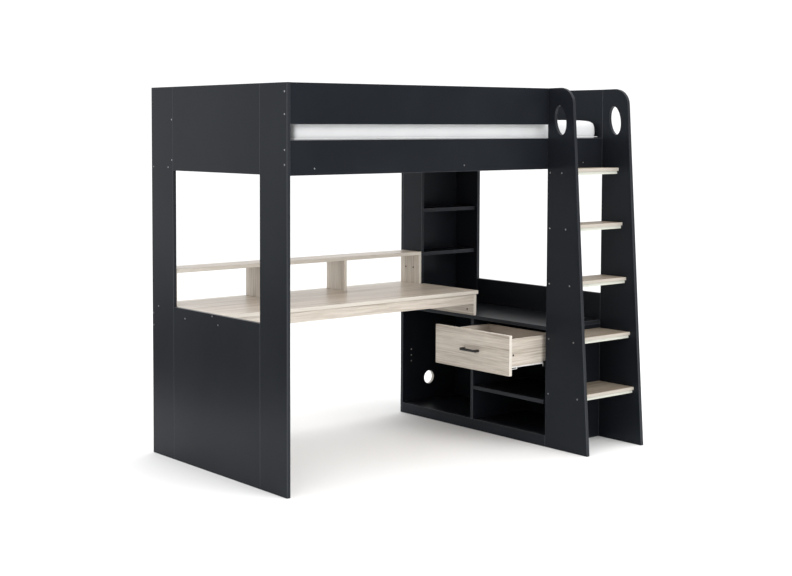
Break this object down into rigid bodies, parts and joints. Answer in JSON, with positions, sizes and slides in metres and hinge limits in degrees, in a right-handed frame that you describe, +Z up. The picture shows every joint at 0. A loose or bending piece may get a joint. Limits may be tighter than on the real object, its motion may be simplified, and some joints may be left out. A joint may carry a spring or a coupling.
{
  "type": "loft bed with desk",
  "caption": "High sleeping deck with guard rails over a desk with a raised shelf, a low cabinet with an open drawer, a corner shelf unit and a slanted step ladder with hand holes.",
  "frame": {"origin": "centre of the footprint on the floor, the ladder's reach included", "axes": "+X along the bed from the closed end to the ladder end, +Y towards the wall side, +Z up"},
  "size_m": [1.9846, 1.328, 1.74],
  "materials": {
    "charcoal_board": "dark melamine laminate, satin",
    "oak_board": "light greige oak laminate, matt",
    "oak_tread": "brown oak laminate with light edges, matt",
    "cream_board": "cream edged board, matt",
    "pine": "bare softwood, planed",
    "mattress_cover": "off-white knitted cover with piped seams",
    "hardboard": "thin brown board, smooth",
    "black_handle": "matt black powder coat",
    "runner_steel": "white coated steel, satin",
    "dark_runner": "black coated steel, satin",
    "white_nylon": "white nylon",
    "zinc": "zinc plated, bright",
    "dark_fitting": "dark coated cam locks and screws"
  },
  "bodies": {
    "frame": {"left_rear_post": "charcoal_board", "left_front_post": "charcoal_board", "left_upper_panel": "charcoal_board", "left_lower_panel": "charcoal_board", "right_rear_post": "charcoal_board", "right_upper_panel": "charcoal_board", "right_lower_panel": "charcoal_board", "ladder_left_board": "charcoal_board", "ladder_right_board": "charcoal_board", "front_guard_rail": "charcoal_board", "front_side_rail": "charcoal_board", "rear_guard_rail": "charcoal_board", "rear_side_rail": "charcoal_board", "cabinet_top": "charcoal_board", "cabinet_bottom": "charcoal_board", "cabinet_divider": "charcoal_board", "cabinet_rear_side": "charcoal_board", "cabinet_front_side": "charcoal_board", "cabinet_plinth": "charcoal_board", "cabinet_shelf": "charcoal_board", "corner_post": "charcoal_board", "corner_back": "charcoal_board", "corner_shelf_upper": "charcoal_board", "corner_shelf_lower": "charcoal_board", "desk_top": "oak_board", "desk_front_apron": "oak_board", "desk_rear_apron": "oak_board", "desk_end_panel": "oak_board", "desk_cleat": "oak_board", "hutch_shelf": "oak_board", "hutch_supports": "oak_board", "step_tread_1": "oak_tread", "step_tread_2": "oak_tread", "step_tread_3": "oak_tread", "step_tread_4": "oak_tread", "step_tread_5": "oak_tread", "step_bearer_1": "cream_board", "step_bearer_2": "cream_board", "step_bearer_3": "cream_board", "step_bearer_4": "cream_board", "step_bearer_5": "cream_board", "slat_ledges": "pine", "cross_bars": "pine", "bed_slats": "pine", "panel_dowels": "pine", "mattress": "mattress_cover", "cabinet_runners": "dark_runner", "panel_screws": "zinc", "desk_fasteners": "dark_fitting"},
    "drawer": {"drawer_front": "oak_board", "drawer_left_side": "oak_board", "drawer_right_side": "oak_board", "drawer_back": "oak_board", "drawer_bottom": "hardboard", "drawer_handle": "black_handle", "drawer_runners": "runner_steel", "drawer_cams": "dark_fitting"},
    "cabinet_rollers": {"cabinet_rollers": "white_nylon"},
    "drawer_rollers": {"drawer_rollers": "white_nylon"}
  },
  "joints": [
    {"name": "drawer_slide", "type": "slide", "parent": "frame", "child": "drawer", "axis": [-1, 0, 0], "range_m": [-0.23, 0.02]},
    {"name": "cabinet_roller_spin", "type": "hinge", "parent": "frame", "child": "cabinet_rollers", "pos_m": [0.597, -0.1375, 0.3975], "axis": [0, 1, 0], "range_deg": [-150, 1660]},
    {"name": "drawer_roller_spin", "type": "hinge", "parent": "drawer", "child": "drawer_rollers", "pos_m": [0.667, -0.1375, 0.3975], "axis": [0, 1, 0], "range_deg": [-150, 1660]}
  ],
  "couplings": [
    {"joint": "cabinet_roller_spin", "follows": "drawer_slide", "rad_per_m": -125},
    {"joint": "drawer_roller_spin", "follows": "drawer_slide", "rad_per_m": -125}
  ]
}
